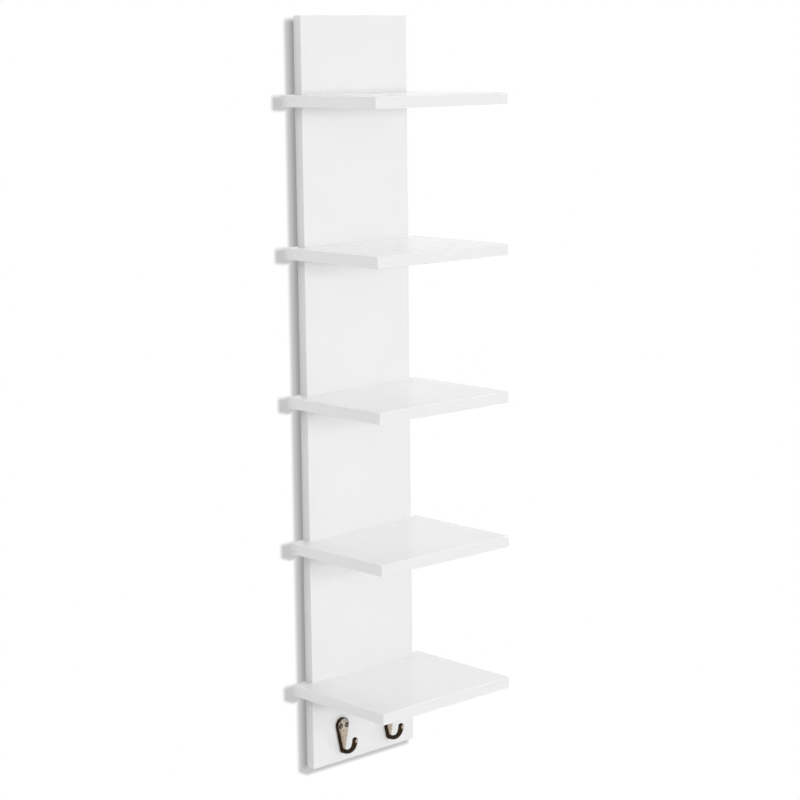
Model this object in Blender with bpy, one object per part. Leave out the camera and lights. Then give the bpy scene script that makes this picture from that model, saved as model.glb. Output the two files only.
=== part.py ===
"""A hanging wall shelf: a tall back panel, five shelves notched round it and two coat hooks.

Sizes are in metres and +Z is up. The wall is the plane Y = 0 and the room lies towards -Y.
The origin is the middle of the panel's back face. Left and right are as seen from the room.
"""

import math

import bmesh
import bpy
from mathutils import Matrix, Vector

# Boards
PANEL_WIDTH = 0.184
PANEL_HEIGHT = 1.000
PANEL_THICKNESS = 0.015
SHELF_COUNT = 5
SHELF_THICKNESS = 0.015
SHELF_DEPTH = 0.180  # from the wall to the front edge
SHELF_EAR = 0.023  # reach of a shelf past each side of the panel
TOP_MARGIN = 0.100  # panel above the first shelf
BOTTOM_MARGIN = 0.105  # panel below the last shelf
EDGE_ROUNDING = 0.001
ROUNDING_PROFILE = 0.5  # part of a circle

# Clearances
SEAT_GAP = 0.0003  # between pieces that touch
HOLE_END_ROOM = 0.0008  # past the end of a screw or dowel
OVERCUT = 0.002  # reach of a cut past the face that it opens

# Shelf screws, driven from the back of the panel, and the dowels beside them
SHELF_SCREW_SPACING = 0.120
SHELF_SCREW_LENGTH = 0.050
SHELF_SCREW_RADIUS = 0.0022
SHELF_SCREW_HEAD_RADIUS = 0.0045
SHELF_SCREW_SINK = 0.0006  # head below the panel's back face
DOWEL_SPACING = 0.060
DOWEL_RADIUS = 0.004
DOWEL_LENGTH = 0.030
DOWEL_IN_PANEL = 0.010
DOWEL_CHAMFER = 0.001

# Coat hooks under the last shelf
HOOK_SPACING = 0.085
HOOK_FOOT = 0.012  # panel's bottom edge to the lowest point of a hook
HOOK_HEIGHT = 0.050
HOOK_PLATE_THICKNESS = 0.005
HOOK_PLATE_RIM = 0.0026  # metal outside each screw head
HOOK_PLATE_FLARE = 0.05  # share by which the plate's back is wider than its middle
HOOK_ROOT_HALF_WIDTH = 0.0034  # of the plate, where the prong leaves it
HOOK_ROOT_FLARE = 0.26
HOOK_BEND_RADIUS = 0.0008  # inside the bend where the prong leaves the plate
HOOK_BEND_SQUARENESS = 4.0  # of the corner outside that bend
HOOK_ROD_RADIUS = 0.0029
HOOK_SWEEP_RADIUS = 0.0213  # open curve of the prong
HOOK_SWEEP_END = math.radians(78)
HOOK_TIP_RISE = 0.0045  # straight stretch before the tip
HOOK_TIP_RADIUS = 0.0037
HOOK_PLATE_SQUARENESS = 5.0  # of the plate's cross-section
HOOK_ROD_SQUARENESS = 2.0  # round
HOOK_CROWN = math.radians(86)  # where the plate's round top is closed
HOOK_TIP_CROWN = math.radians(80)  # where the prong's round tip is closed
HOOK_SCREW_SPACING = 0.0108
HOOK_SCREW_LENGTH = 0.014
HOOK_SCREW_RADIUS = 0.0015
HOOK_SCREW_HEAD_RADIUS = 0.003
HOOK_SCREW_DOME = 0.0006

# Keyhole hanger plates, let into the back of the panel
HANGER_SPACING = 0.110
HANGER_DROP = 0.050  # panel's top edge to the middle of a plate
HANGER_WIDTH = 0.016
HANGER_THICKNESS = 0.0015
HANGER_END = 0.006  # plate past the axis of each screw
HANGER_SCREW_LENGTH = 0.010
HANGER_SCREW_RADIUS = 0.0015
HANGER_SCREW_HEAD_RADIUS = 0.003
KEYHOLE_ENTRY_RADIUS = 0.0048
KEYHOLE_SLOT_WIDTH = 0.0052
KEYHOLE_TRAVEL = 0.011  # from the entry's centre to the slot's end
POCKET_DEPTH = 0.009  # room for the wall screw's head, from the panel's back face
POCKET_ROOM = 0.0025  # pocket outside the keyhole
POCKET_WALL = 0.0045  # wood from the pocket to a screw's axis

# Every screw: its point in radii, and the rest as shares of its head's radius
SCREW_POINT = 2.0
DOME_SHOULDER = 0.5
DRIVE_REACH = 0.62
DRIVE_WIDTH = 0.26
DRIVE_DEPTH = 0.45

# Facets
SCREW_SIDES = 16
DOWEL_SIDES = 12
HOOK_SIDES = 16
ARC_STEPS = 8
TAPER_STEPS = 4
TIP_STEPS = 3
ROUNDING_STEPS = 2
SMOOTH_ANGLE = math.radians(40)

# Sizes that follow from those above
SHELF_PITCH = (PANEL_HEIGHT - TOP_MARGIN - BOTTOM_MARGIN - SHELF_THICKNESS) / (SHELF_COUNT - 1)
PANEL_TOP = PANEL_HEIGHT / 2
PANEL_FRONT = -PANEL_THICKNESS
SHELF_HALF_WIDTH = PANEL_WIDTH / 2 + SHELF_EAR
NOTCH_HALF_WIDTH = PANEL_WIDTH / 2 + SEAT_GAP
NOTCH_FLOOR = PANEL_FRONT - SEAT_GAP
SHELF_TOPS = [PANEL_TOP - TOP_MARGIN - index * SHELF_PITCH for index in range(SHELF_COUNT)]
HOOK_BASE = -PANEL_TOP + HOOK_FOOT
HOOK_PLATE_RADIUS = HOOK_SCREW_SPACING / 2 + HOOK_SCREW_HEAD_RADIUS + HOOK_PLATE_RIM
HOOK_PLATE_CENTRE = HOOK_HEIGHT - HOOK_PLATE_RADIUS
HOOK_PLATE_FACE = SEAT_GAP + HOOK_PLATE_THICKNESS
HOOK_BEND_BACK = HOOK_BEND_RADIUS + HOOK_PLATE_THICKNESS  # from the bend's centre to the plate's back
HOOK_BEND_DROP = HOOK_BEND_RADIUS + 2 * HOOK_ROD_RADIUS  # and to the prong's underside
HANGER_CENTRE = PANEL_TOP - HANGER_DROP
HANGER_FACE = SEAT_GAP  # depth of the plate's face below the panel's back
KEYHOLE_LENGTH = KEYHOLE_ENTRY_RADIUS + KEYHOLE_TRAVEL + KEYHOLE_SLOT_WIDTH / 2
KEYHOLE_ENTRY = KEYHOLE_ENTRY_RADIUS - KEYHOLE_LENGTH / 2
POCKET_HALF_LENGTH = KEYHOLE_LENGTH / 2 + POCKET_ROOM
HANGER_SCREW_OFFSET = POCKET_HALF_LENGTH + POCKET_WALL
HANGER_HALF_LENGTH = HANGER_SCREW_OFFSET + HANGER_END
SIDES = {"left": -0.5, "right": 0.5}
HANGER_SCREWS = {"top": 1, "bottom": -1}

# Directions that a screw or plate can face
FACING_WALL = Matrix.Rotation(math.radians(-90), 4, "X")
FACING_ROOM = Matrix.Rotation(math.radians(90), 4, "X")

# Finishes: colour, roughness and metallic value
WHITE_LACQUER = ((0.84, 0.84, 0.83), 0.35, 0.0)
BEECH = ((0.66, 0.46, 0.26), 0.6, 0.0)
ZINC = ((0.62, 0.63, 0.64), 0.4, 1.0)
ANTIQUE_BRONZE = ((0.17, 0.12, 0.08), 0.42, 1.0)


def clear_scene():
    for obj in list(bpy.data.objects):
        bpy.data.objects.remove(obj, do_unlink=True)


def make_object(name, bm, place, parent):
    """Turns a mesh in the making into an object, placed under its parent."""
    bmesh.ops.recalc_face_normals(bm, faces=bm.faces[:])
    mesh = bpy.data.meshes.new(name)
    bm.to_mesh(mesh)
    bm.free()
    obj = bpy.data.objects.new(name, mesh)
    bpy.context.scene.collection.objects.link(obj)
    obj.parent = parent
    obj.matrix_local = place
    return obj


def finish(obj, look):
    """Gives an object its own material and smooth round faces."""
    colour, roughness, metallic = look
    material = bpy.data.materials.new(obj.name + "_finish")
    material.use_nodes = True
    shader = material.node_tree.nodes["Principled BSDF"]
    shader.inputs["Base Color"].default_value = (*colour, 1.0)
    shader.inputs["Roughness"].default_value = roughness
    shader.inputs["Metallic"].default_value = metallic
    obj.data.materials.append(material)
    obj.data.shade_smooth()
    obj.data.set_sharp_from_angle(angle=SMOOTH_ANGLE)


def make_cutter(name, bm, place, parent):
    cutter = make_object(name, bm, place, parent)
    cutter.hide_render = True
    cutter.display_type = "WIRE"
    return cutter


def cut(obj, cutter):
    modifier = obj.modifiers.new(cutter.name, "BOOLEAN")
    modifier.operation = "DIFFERENCE"
    modifier.solver = "EXACT"
    modifier.object = cutter


def arc(centre, radius, start, end, steps=ARC_STEPS):
    """Points of an arc, both ends included."""
    turns = [start + (end - start) * step / steps for step in range(steps + 1)]
    return [(centre[0] + radius * math.cos(turn), centre[1] + radius * math.sin(turn)) for turn in turns]


def stadium(half_length, half_width):
    """Outline of a slot that stands upright, with round ends."""
    end = half_length - half_width
    return arc((0, end), half_width, 0, math.pi) + arc((0, -end), half_width, math.pi, 2 * math.pi)


def add_prism(bm, outline, low, high, place=Matrix()):
    """Adds an outline in the XY plane, carried from one height to another."""
    floor = [bm.verts.new(place @ Vector((x, y, low))) for x, y in outline]
    roof = [bm.verts.new(place @ Vector((x, y, high))) for x, y in outline]
    bm.faces.new(reversed(floor))
    bm.faces.new(roof)
    for index in range(len(outline)):
        bm.faces.new((floor[index - 1], floor[index], roof[index], roof[index - 1]))


def add_turned(bm, profile, sides, place=Matrix()):
    """Adds a solid turned about Z. Its profile runs from the top down, as radius and height."""
    rings = []
    for radius, height in profile:
        count = sides if radius > 0 else 1
        turns = [2 * math.pi * side / sides for side in range(count)]
        points = [Vector((radius * math.cos(turn), radius * math.sin(turn), height)) for turn in turns]
        rings.append([bm.verts.new(place @ point) for point in points])
    add_skin(bm, rings, sides)


def add_skin(bm, rings, sides):
    """Joins rings of points in order. A ring may be a single point."""
    for upper, lower in zip(rings, rings[1:]):
        for side in range(sides):
            following = (side + 1) % sides
            corners = (
                upper[side % len(upper)],
                lower[side % len(lower)],
                lower[following % len(lower)],
                upper[following % len(upper)],
            )
            bm.faces.new(dict.fromkeys(corners))


def round_edges(bm):
    """Rounds the outer edges of a board. The inner corners of a notch stay sharp."""
    bm.normal_update()
    bmesh.ops.bevel(
        bm,
        geom=[edge for edge in bm.edges if edge.is_convex],
        offset=EDGE_ROUNDING,
        segments=ROUNDING_STEPS,
        profile=ROUNDING_PROFILE,
        affect="EDGES",
        clamp_overlap=True,
    )


def screw_profile(length, radius, head_radius, dome):
    """A countersunk screw with its head's rim at height 0 and its point at the bottom."""
    shoulder_height = dome * (1 - DOME_SHOULDER**2)
    return [
        (0, dome),
        (head_radius * DOME_SHOULDER, shoulder_height),
        (head_radius, 0),
        (radius, radius - head_radius),
        (radius, SCREW_POINT * radius - length),
        (0, -length),
    ]


def screw_hole_profile(length, radius, head_radius):
    """The hole and countersink that such a screw sits in."""
    end = -length - HOLE_END_ROOM
    wide = head_radius + SEAT_GAP
    narrow = radius + SEAT_GAP
    return [(0, OVERCUT), (wide, OVERCUT), (wide, 0), (narrow, radius - head_radius), (narrow, end), (0, end)]


def cross_outline(reach, half_width):
    """A plus sign, anticlockwise from the right arm."""
    points = []
    for quarter in range(4):
        turn = Matrix.Rotation(quarter * math.pi / 2, 2)
        for corner in ((reach, -half_width), (reach, half_width), (half_width, half_width)):
            points.append(tuple(turn @ Vector(corner)))
    return points


def make_screw(name, place, length, radius, head_radius, dome, look, parent):
    bm = bmesh.new()
    add_turned(bm, screw_profile(length, radius, head_radius, dome), SCREW_SIDES)
    screw = make_object(name, bm, place, parent)
    finish(screw, look)
    bm = bmesh.new()
    outline = cross_outline(DRIVE_REACH * head_radius, DRIVE_WIDTH * head_radius / 2)
    add_prism(bm, outline, -DRIVE_DEPTH * head_radius, dome + OVERCUT)
    cut(screw, make_cutter(name + "_drive", bm, Matrix(), screw))
    return screw


def make_panel(parent):
    half = PANEL_WIDTH / 2
    bm = bmesh.new()
    outline = [(-half, PANEL_FRONT), (half, PANEL_FRONT), (half, 0), (-half, 0)]
    add_prism(bm, outline, -PANEL_TOP, PANEL_TOP)
    round_edges(bm)
    panel = make_object("back_panel", bm, Matrix(), parent)
    finish(panel, WHITE_LACQUER)
    return panel


def make_shelf(number, top, parent):
    """A board with a notch at the back. Its ears pass the panel's sides and end flush with its back."""
    bm = bmesh.new()
    outline = [
        (-SHELF_HALF_WIDTH, 0),
        (-SHELF_HALF_WIDTH, -SHELF_DEPTH),
        (SHELF_HALF_WIDTH, -SHELF_DEPTH),
        (SHELF_HALF_WIDTH, 0),
        (NOTCH_HALF_WIDTH, 0),
        (NOTCH_HALF_WIDTH, NOTCH_FLOOR),
        (-NOTCH_HALF_WIDTH, NOTCH_FLOOR),
        (-NOTCH_HALF_WIDTH, 0),
    ]
    add_prism(bm, outline, -SHELF_THICKNESS, 0)
    round_edges(bm)
    shelf = make_object(f"shelf_{number}", bm, Matrix.Translation((0, 0, top)), parent)
    finish(shelf, WHITE_LACQUER)
    return shelf


def shelf_screw_place(side, top):
    middle = top - SHELF_THICKNESS / 2
    return Matrix.Translation((SIDES[side] * SHELF_SCREW_SPACING, -SHELF_SCREW_SINK, middle)) @ FACING_WALL


def dowel_place(side, top):
    middle = top - SHELF_THICKNESS / 2
    back = PANEL_FRONT + DOWEL_IN_PANEL
    return Matrix.Translation((SIDES[side] * DOWEL_SPACING, back, middle)) @ FACING_WALL


def make_shelf_fasteners(number, top, parent):
    for side in SIDES:
        make_screw(
            f"shelf_{number}_screw_{side}",
            shelf_screw_place(side, top),
            SHELF_SCREW_LENGTH,
            SHELF_SCREW_RADIUS,
            SHELF_SCREW_HEAD_RADIUS,
            0,
            ZINC,
            parent,
        )
        bm = bmesh.new()
        tip = DOWEL_RADIUS - DOWEL_CHAMFER
        profile = [
            (0, 0),
            (tip, 0),
            (DOWEL_RADIUS, -DOWEL_CHAMFER),
            (DOWEL_RADIUS, DOWEL_CHAMFER - DOWEL_LENGTH),
            (tip, -DOWEL_LENGTH),
            (0, -DOWEL_LENGTH),
        ]
        add_turned(bm, profile, DOWEL_SIDES)
        dowel = make_object(f"shelf_{number}_dowel_{side}", bm, dowel_place(side, top), parent)
        finish(dowel, BEECH)


def make_shelf_drilling(parent):
    """All holes for shelf screws and dowels. Each runs from the panel into its shelf."""
    screw_hole = screw_hole_profile(SHELF_SCREW_LENGTH, SHELF_SCREW_RADIUS, SHELF_SCREW_HEAD_RADIUS)
    wide = DOWEL_RADIUS + SEAT_GAP
    end = -DOWEL_LENGTH - HOLE_END_ROOM
    dowel_hole = [(0, HOLE_END_ROOM), (wide, HOLE_END_ROOM), (wide, end), (0, end)]
    bm = bmesh.new()
    for top in SHELF_TOPS:
        for side in SIDES:
            add_turned(bm, screw_hole, SCREW_SIDES, shelf_screw_place(side, top))
            add_turned(bm, dowel_hole, DOWEL_SIDES, dowel_place(side, top))
    return make_cutter("shelf_drilling", bm, Matrix(), parent)


def mix(first, last, share):
    return first + (last - first) * share


def hook_sections():
    """Cross-sections of a hook from the top of its plate to the tip of its prong.

    Each is the distance in front of the panel, the height above the hook's lowest point,
    the heading of the metal, half its width, half its depth, how square its corners are
    and the share by which its outer side, which is the plate's back, is wider than its middle.
    """
    down = -math.pi / 2
    half_plate = HOOK_PLATE_THICKNESS / 2
    plate_middle = SEAT_GAP + half_plate
    taper_run = HOOK_PLATE_CENTRE - HOOK_BEND_DROP
    taper = math.asin((HOOK_PLATE_RADIUS - HOOK_ROOT_HALF_WIDTH) / taper_run)
    sections = []

    # Round top of the plate, down to where its straight sides begin
    for step in range(ARC_STEPS + 1):
        turn = mix(HOOK_CROWN, -taper, step / ARC_STEPS)
        height = HOOK_PLATE_CENTRE + HOOK_PLATE_RADIUS * math.sin(turn)
        half_width = HOOK_PLATE_RADIUS * math.cos(turn)
        flare = HOOK_PLATE_FLARE
        sections.append((plate_middle, height, down, half_width, half_plate, HOOK_PLATE_SQUARENESS, flare))

    # Tapering plate, whose face narrows more than its back
    start_height, start_width = sections[-1][1], sections[-1][3]
    for step in range(1, TAPER_STEPS + 1):
        share = step / TAPER_STEPS
        height = mix(start_height, HOOK_BEND_DROP, share)
        half_width = mix(start_width, HOOK_ROOT_HALF_WIDTH, share)
        flare = mix(HOOK_PLATE_FLARE, HOOK_ROOT_FLARE, share)
        sections.append((plate_middle, height, down, half_width, half_plate, HOOK_PLATE_SQUARENESS, flare))

    # Bend at the foot of the plate, tight inside and squarish outside
    bend_forward = SEAT_GAP + HOOK_BEND_BACK
    for step in range(1, ARC_STEPS + 1):
        share = step / ARC_STEPS
        turn = share * math.pi / 2
        towards_back = abs(math.cos(turn) / HOOK_BEND_BACK) ** HOOK_BEND_SQUARENESS
        towards_foot = abs(math.sin(turn) / HOOK_BEND_DROP) ** HOOK_BEND_SQUARENESS
        reach = (towards_back + towards_foot) ** (-1 / HOOK_BEND_SQUARENESS)
        middle = (reach + HOOK_BEND_RADIUS) / 2
        half_depth = (reach - HOOK_BEND_RADIUS) / 2
        forward = bend_forward - middle * math.cos(turn)
        height = HOOK_BEND_DROP - middle * math.sin(turn)
        half_width = mix(HOOK_ROOT_HALF_WIDTH, HOOK_ROD_RADIUS, share)
        squareness = mix(HOOK_PLATE_SQUARENESS, HOOK_ROD_SQUARENESS, share)
        flare = mix(HOOK_ROOT_FLARE, 0, share)
        sections.append((forward, height, down + turn, half_width, half_depth, squareness, flare))

    # Open sweep of the prong, which swells towards its tip
    for step in range(1, ARC_STEPS + 1):
        share = step / ARC_STEPS
        heading = share * HOOK_SWEEP_END
        forward = bend_forward + HOOK_SWEEP_RADIUS * math.sin(heading)
        height = HOOK_ROD_RADIUS + HOOK_SWEEP_RADIUS * (1 - math.cos(heading))
        half = mix(HOOK_ROD_RADIUS, HOOK_TIP_RADIUS, share)
        sections.append((forward, height, heading, half, half, HOOK_ROD_SQUARENESS, 0))

    # Straight rise and round tip
    for step in range(TIP_STEPS + 1):
        turn = HOOK_TIP_CROWN * step / TIP_STEPS
        ahead = HOOK_TIP_RISE + HOOK_TIP_RADIUS * math.sin(turn)
        half = HOOK_TIP_RADIUS * math.cos(turn)
        tip_forward = forward + ahead * math.cos(HOOK_SWEEP_END)
        tip_height = height + ahead * math.sin(HOOK_SWEEP_END)
        sections.append((tip_forward, tip_height, HOOK_SWEEP_END, half, half, HOOK_ROD_SQUARENESS, 0))
    return sections


def make_hook(side, parent):
    bm = bmesh.new()
    rings = []
    across = Vector((1, 0, 0))
    for forward, height, heading, half_width, half_depth, squareness, flare in hook_sections():
        outward = Vector((0, -math.sin(heading), -math.cos(heading)))
        centre = Vector((0, -forward, height))
        ring = []
        for turn in (2 * math.pi * point / HOOK_SIDES for point in range(HOOK_SIDES)):
            bulge_x = math.copysign(abs(math.cos(turn)) ** (2 / squareness), math.cos(turn))
            bulge_y = math.copysign(abs(math.sin(turn)) ** (2 / squareness), math.sin(turn))
            half_here = half_width * (1 + flare * bulge_y)
            ring.append(bm.verts.new(centre + across * half_here * bulge_x + outward * half_depth * bulge_y))
        rings.append(ring)
    add_skin(bm, rings, HOOK_SIDES)
    bm.faces.new(rings[0])
    bm.faces.new(rings[-1])
    place = Matrix.Translation((SIDES[side] * HOOK_SPACING, PANEL_FRONT, HOOK_BASE))
    hook = make_object(f"coat_hook_{side}", bm, place, parent)
    finish(hook, ANTIQUE_BRONZE)
    return hook


def hook_screw_place(hook_side, side):
    x = SIDES[hook_side] * HOOK_SPACING + SIDES[side] * HOOK_SCREW_SPACING
    return Matrix.Translation((x, PANEL_FRONT - HOOK_PLATE_FACE, HOOK_BASE + HOOK_PLATE_CENTRE)) @ FACING_ROOM


def make_hook_screws(hook_side, parent):
    for side in SIDES:
        make_screw(
            f"hook_{hook_side}_screw_{side}",
            hook_screw_place(hook_side, side),
            HOOK_SCREW_LENGTH,
            HOOK_SCREW_RADIUS,
            HOOK_SCREW_HEAD_RADIUS,
            HOOK_SCREW_DOME,
            ANTIQUE_BRONZE,
            parent,
        )


def make_hook_drilling(parent):
    profile = screw_hole_profile(HOOK_SCREW_LENGTH, HOOK_SCREW_RADIUS, HOOK_SCREW_HEAD_RADIUS)
    bm = bmesh.new()
    for hook_side in SIDES:
        for side in SIDES:
            add_turned(bm, profile, SCREW_SIDES, hook_screw_place(hook_side, side))
    return make_cutter("hook_drilling", bm, Matrix(), parent)


def hanger_place(side):
    """Plates and pockets lie in local X and Y. Local Z is the depth into the panel from its back."""
    return Matrix.Translation((SIDES[side] * HANGER_SPACING, 0, HANGER_CENTRE)) @ FACING_ROOM


def make_hanger(side, parent):
    bm = bmesh.new()
    add_prism(bm, stadium(HANGER_HALF_LENGTH, HANGER_WIDTH / 2), HANGER_FACE, HANGER_FACE + HANGER_THICKNESS)
    hanger = make_object(f"hanger_plate_{side}", bm, hanger_place(side), parent)
    finish(hanger, ZINC)
    return hanger


def hanger_screw_place(hanger_side, upright):
    x = SIDES[hanger_side] * HANGER_SPACING
    z = HANGER_CENTRE + upright * HANGER_SCREW_OFFSET
    return Matrix.Translation((x, -HANGER_FACE, z)) @ FACING_WALL


def make_hanger_screws(hanger_side, parent):
    for end, upright in HANGER_SCREWS.items():
        make_screw(
            f"hanger_{hanger_side}_screw_{end}",
            hanger_screw_place(hanger_side, upright),
            HANGER_SCREW_LENGTH,
            HANGER_SCREW_RADIUS,
            HANGER_SCREW_HEAD_RADIUS,
            0,
            ZINC,
            parent,
        )


def make_hanger_drilling(parent):
    profile = screw_hole_profile(HANGER_SCREW_LENGTH, HANGER_SCREW_RADIUS, HANGER_SCREW_HEAD_RADIUS)
    bm = bmesh.new()
    for side in SIDES:
        for upright in HANGER_SCREWS.values():
            add_turned(bm, profile, SCREW_SIDES, hanger_screw_place(side, upright))
    return make_cutter("hanger_drilling", bm, Matrix(), parent)


def keyhole_outline():
    """A round entry with a slot that rises from it."""
    half_slot = KEYHOLE_SLOT_WIDTH / 2
    meet = math.acos(half_slot / KEYHOLE_ENTRY_RADIUS)
    slot = arc((0, KEYHOLE_ENTRY + KEYHOLE_TRAVEL), half_slot, 0, math.pi)
    entry = arc((0, KEYHOLE_ENTRY), KEYHOLE_ENTRY_RADIUS, math.pi - meet, 2 * math.pi + meet, 2 * ARC_STEPS)
    return slot + entry


def make_hanger_cutter(name, outline, depth, parent):
    """One prism for each hanger, from outside the panel's back to a depth inside it."""
    bm = bmesh.new()
    for side in SIDES:
        add_prism(bm, outline, -OVERCUT, depth, hanger_place(side))
    return make_cutter(name, bm, Matrix(), parent)


def build():
    clear_scene()
    assembly = bpy.data.objects.new("wall_shelf", None)
    bpy.context.scene.collection.objects.link(assembly)

    # Cuts that several pieces share
    shelf_drilling = make_shelf_drilling(assembly)
    hook_drilling = make_hook_drilling(assembly)
    hanger_drilling = make_hanger_drilling(assembly)
    recess_depth = HANGER_FACE + HANGER_THICKNESS + SEAT_GAP
    recess_outline = stadium(HANGER_HALF_LENGTH + SEAT_GAP, HANGER_WIDTH / 2 + SEAT_GAP)
    recess = make_hanger_cutter("hanger_recess", recess_outline, recess_depth, assembly)
    pocket_outline = stadium(POCKET_HALF_LENGTH, KEYHOLE_ENTRY_RADIUS + POCKET_ROOM)
    pocket = make_hanger_cutter("hanger_pocket", pocket_outline, POCKET_DEPTH, assembly)
    keyhole = make_hanger_cutter("keyhole", keyhole_outline(), recess_depth + OVERCUT, assembly)

    panel = make_panel(assembly)
    for cutter in (shelf_drilling, hook_drilling, hanger_drilling, recess, pocket):
        cut(panel, cutter)

    for number, top in enumerate(SHELF_TOPS, start=1):
        cut(make_shelf(number, top, assembly), shelf_drilling)
        make_shelf_fasteners(number, top, assembly)

    for side in SIDES:
        cut(make_hook(side, assembly), hook_drilling)
        make_hook_screws(side, assembly)
        hanger = make_hanger(side, assembly)
        cut(hanger, hanger_drilling)
        cut(hanger, keyhole)
        make_hanger_screws(side, assembly)


build()
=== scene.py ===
"""The looks of a hanging wall shelf: lacquered boards, cast hooks, fasteners, stage, light and camera.

Sizes are in metres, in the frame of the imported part: the wall is the plane Y = 0, the room lies
towards -Y and +Z is up. Left and right are as seen from the room.
"""

import itertools
import math

import bmesh
import bpy
from mathutils import Matrix, Vector


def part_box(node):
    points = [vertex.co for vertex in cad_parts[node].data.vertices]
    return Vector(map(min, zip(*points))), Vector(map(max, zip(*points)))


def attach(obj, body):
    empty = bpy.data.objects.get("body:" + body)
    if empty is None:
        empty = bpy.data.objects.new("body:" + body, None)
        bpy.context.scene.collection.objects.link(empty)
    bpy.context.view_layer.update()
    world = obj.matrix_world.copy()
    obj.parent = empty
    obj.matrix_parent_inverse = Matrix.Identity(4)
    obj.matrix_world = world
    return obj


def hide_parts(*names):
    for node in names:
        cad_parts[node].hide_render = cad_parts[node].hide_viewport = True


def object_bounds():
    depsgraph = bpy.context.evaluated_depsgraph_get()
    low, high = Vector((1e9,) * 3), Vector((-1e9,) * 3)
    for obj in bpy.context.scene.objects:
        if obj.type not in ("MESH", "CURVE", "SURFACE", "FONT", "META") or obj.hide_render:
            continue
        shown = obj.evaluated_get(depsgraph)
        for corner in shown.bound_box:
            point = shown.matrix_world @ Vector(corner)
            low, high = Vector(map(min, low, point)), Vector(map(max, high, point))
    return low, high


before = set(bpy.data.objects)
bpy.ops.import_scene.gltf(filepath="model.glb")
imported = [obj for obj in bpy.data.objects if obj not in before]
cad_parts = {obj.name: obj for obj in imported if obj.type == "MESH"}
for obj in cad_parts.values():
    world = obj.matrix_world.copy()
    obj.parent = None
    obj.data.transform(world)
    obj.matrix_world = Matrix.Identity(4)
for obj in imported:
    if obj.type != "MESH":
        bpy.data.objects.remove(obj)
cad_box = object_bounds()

SIDES = ("left", "right")
SHELF_NUMBERS = range(1, 6)
HANGER_ENDS = ("top", "bottom")

# Clearances, as in the solids
SEAT_GAP = 0.0003
HOLE_END_ROOM = 0.0008
OVERCUT = 0.002

# Boards
EDGE_ROUNDING = 0.001
JOINT_GAP = 0.00005  # where a shelf is drawn up tight to the panel
ROUNDING_STEPS = 5
ROUNDING_PROFILE = 0.5

# Screws: shares of the head's radius, and the thread
SHANK_SHARE = 0.49
CORE_SHARE = 0.72  # of the shank, at the bottom of the thread
THREAD_PITCH_SHARE = 0.42
THREAD_ROWS = 4  # rings of points in one turn of thread
POINT_SHARE = 1.2
RIM_SHARE = 0.05
DRIVE_REACH = 0.62
DRIVE_WIDTH = 0.26
DRIVE_DEPTH = 0.45
HOOK_SCREW_DOME = 0.0006
DOME_STEPS = 6
SCREW_SIDES = 32
DRIVE_TURN = math.pi / SCREW_SIDES  # keeps the corners of the recess off the head's edges

# Dowels
DOWEL_CHAMFER = 0.001
DOWEL_FLUTES = 18
DOWEL_FLUTE_DEPTH = 0.00025
DOWEL_SIDES = 4 * DOWEL_FLUTES

# Coat hooks
HOOK_PLATE_THICKNESS = 0.005
HOOK_PLATE_FLARE = 0.05  # share by which the plate's back is wider than its middle
HOOK_PLATE_CROWN = 0.0003  # rise of the plate's face towards its middle
HOOK_PLATE_SQUARENESS = 5.0
HOOK_ROOT_HALF_WIDTH = 0.0034
HOOK_ROOT_FLARE = 0.26
HOOK_BEND_RADIUS = 0.0008
HOOK_BEND_SQUARENESS = 4.0
HOOK_ROD_RADIUS = 0.0029
HOOK_ROD_WAIST = 0.0002  # slimmer half way along the prong
HOOK_ROD_SQUARENESS = 2.0
HOOK_SWEEP_RADIUS = 0.0213
HOOK_SWEEP_END = math.radians(78)
HOOK_TIP_RISE = 0.0045
HOOK_TIP_RADIUS = 0.0037
HOOK_CROWN = math.radians(88)  # up the plate's round top, just short of its highest point
HOOK_TIP_CROWN = math.radians(86)  # along the round tip, just short of its end
HOOK_SIDES = 56
HOOK_STEPS = 24

# Wear of the hooks and their screws, with painted highlights and shade: spans from dark to rubbed metal
HOOK_DARK_RIM = (0.0005, 0.0013)  # inwards from the edge of the plate's face
HOOK_PATINA_AND_SHADE_RING = 0.0006  # width of the patina and painted shade round a screw
HOOK_FACE_DEPTH = (0.0015, 0.0005)  # in front of the plate's face
HOOK_FACING = (-0.75, -0.95)  # share of the normal along Y
HOOK_TIP_RUB_AND_GLINT = (0.0042, 0.0018)  # from the middle of the prong's tip, rubbed and with a painted glint
SCREW_RUB_AND_HIGHLIGHT = (0.62, 0.42)  # shares of the head's radius: a rubbed middle with a painted highlight, and a rim kept dark by patina and painted shade

# Keyhole hanger plates and the pockets behind them
KEYHOLE_ENTRY_RADIUS = 0.0048
KEYHOLE_SLOT_WIDTH = 0.0052
KEYHOLE_TRAVEL = 0.011
POCKET_DEPTH = 0.009
POCKET_ROOM = 0.0025
HANGER_ROUNDING = 0.0003
HANGER_ROUNDING_STEPS = 3
ARC_STEPS = 24

# Finishes. A noise is given by its patches to the metre and its detail, a bump by its strength and distance
SMOOTH_ANGLE = math.radians(35)  # between faces, past which an edge is shaded as a crease
NOISE_SPAN = (0.3, 0.7)
LACQUER_WHITES = ((0.856, 0.856, 0.855), (0.866, 0.866, 0.865))
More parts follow.
